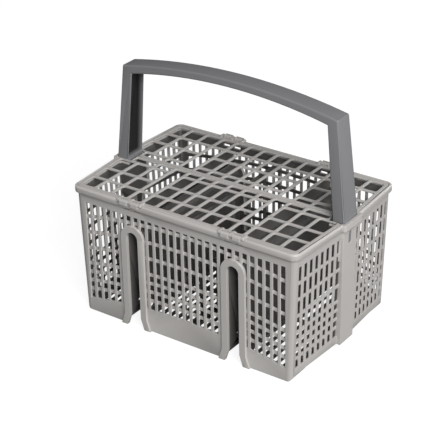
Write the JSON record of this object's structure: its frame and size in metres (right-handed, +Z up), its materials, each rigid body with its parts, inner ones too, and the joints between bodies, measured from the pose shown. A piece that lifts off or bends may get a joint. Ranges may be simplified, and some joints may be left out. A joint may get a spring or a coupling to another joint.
{
  "type": "dishwasher cutlery basket",
  "caption": "Open lattice basket with two arched tunnels through it, hinged grid lids and an arched plug-in carrying handle.",
  "frame": {"origin": "middle of the underside, on the surface that the basket stands on", "axes": "+Z up, X along the length from one handle leg to the other, -Y towards the front long wall"},
  "size_m": [0.244, 0.1606, 0.2245],
  "materials": {
    "light_grey_plastic": "satin moulded",
    "dark_grey_plastic": "satin moulded"
  },
  "bodies": {
    "basket": {"basket": "light_grey_plastic", "handle": "dark_grey_plastic"},
    "front_lid": {"front_lid": "light_grey_plastic"},
    "rear_lid": {"rear_lid": "light_grey_plastic"}
  },
  "joints": [
    {"name": "front_lid_hinge", "type": "hinge", "parent": "basket", "child": "front_lid", "pos_m": [0, -0.0776, 0.1238], "axis": [1, 0, 0], "range_deg": [0, 180]},
    {"name": "rear_lid_hinge", "type": "hinge", "parent": "basket", "child": "rear_lid", "pos_m": [0, 0.0776, 0.1238], "axis": [-1, 0, 0], "range_deg": [0, 180]}
  ]
}
